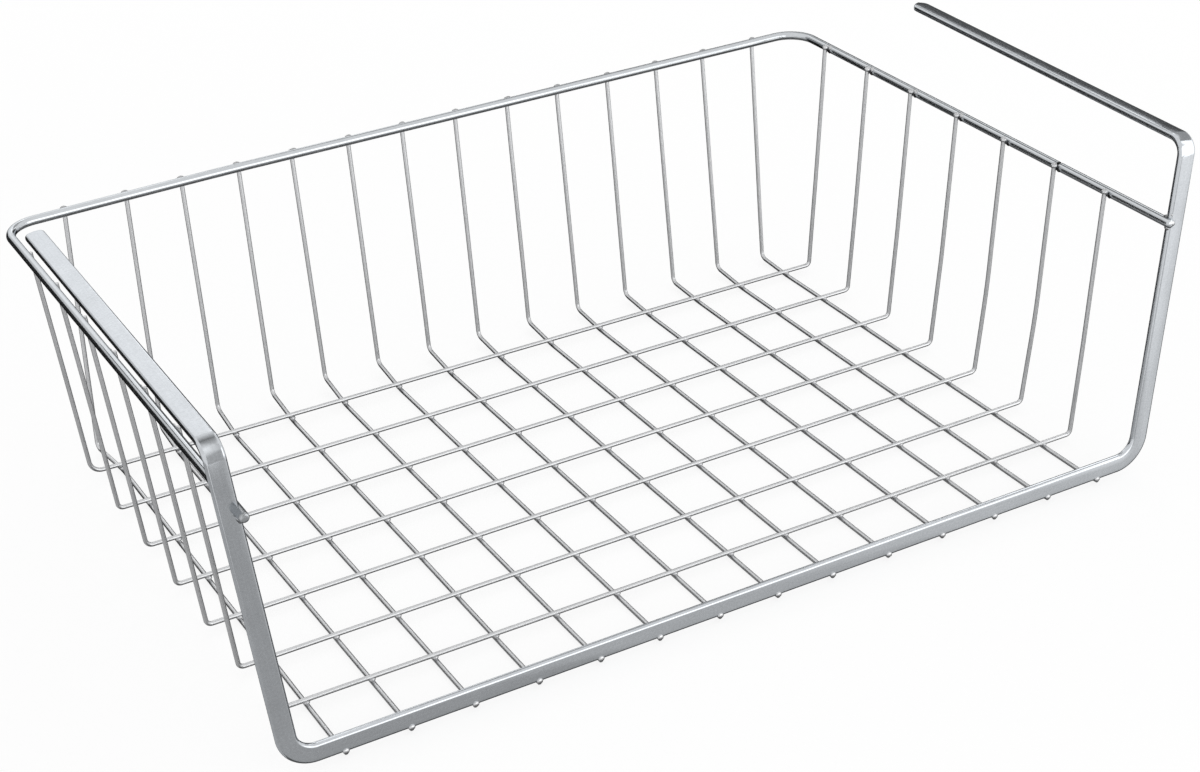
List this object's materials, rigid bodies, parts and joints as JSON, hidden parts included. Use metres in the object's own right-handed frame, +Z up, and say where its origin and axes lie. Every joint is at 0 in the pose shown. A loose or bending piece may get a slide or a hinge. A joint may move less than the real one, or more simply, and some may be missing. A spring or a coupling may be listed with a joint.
{
  "type": "under shelf basket",
  "caption": "Wire basket that hooks over a shelf board by two flat arms and hangs below it, open at the front, with a welded grid floor and sloping wire walls.",
  "frame": {"origin": "on the plane of the floor wires' undersides, below the middle of the bounding box", "axes": "+X across the front, to the right for someone facing the open front; +Y from the open front towards the wall behind; +Z up"},
  "size_m": [0.3955, 0.2572, 0.1433],
  "materials": {
    "frame_coating": "silver-grey metallic coating, satin",
    "rim_coating": "silver-grey metallic coating, satin with clear highlights",
    "wire_coating": "silver-grey metallic coating, satin with clear highlights"
  },
  "bodies": {
    "root": {"strip_frame": "frame_coating", "rim_wire": "rim_coating", "cross_wire_01": "wire_coating", "cross_wire_02": "wire_coating", "cross_wire_03": "wire_coating", "cross_wire_04": "wire_coating", "cross_wire_05": "wire_coating", "cross_wire_06": "wire_coating", "cross_wire_07": "wire_coating", "long_wire_01": "wire_coating", "long_wire_02": "wire_coating", "long_wire_03": "wire_coating", "long_wire_04": "wire_coating", "long_wire_05": "wire_coating", "long_wire_06": "wire_coating", "long_wire_07": "wire_coating", "long_wire_08": "wire_coating", "long_wire_09": "wire_coating", "long_wire_10": "wire_coating", "long_wire_11": "wire_coating", "long_wire_12": "wire_coating", "long_wire_13": "wire_coating", "long_wire_14": "wire_coating"}
  },
  "joints": []
}
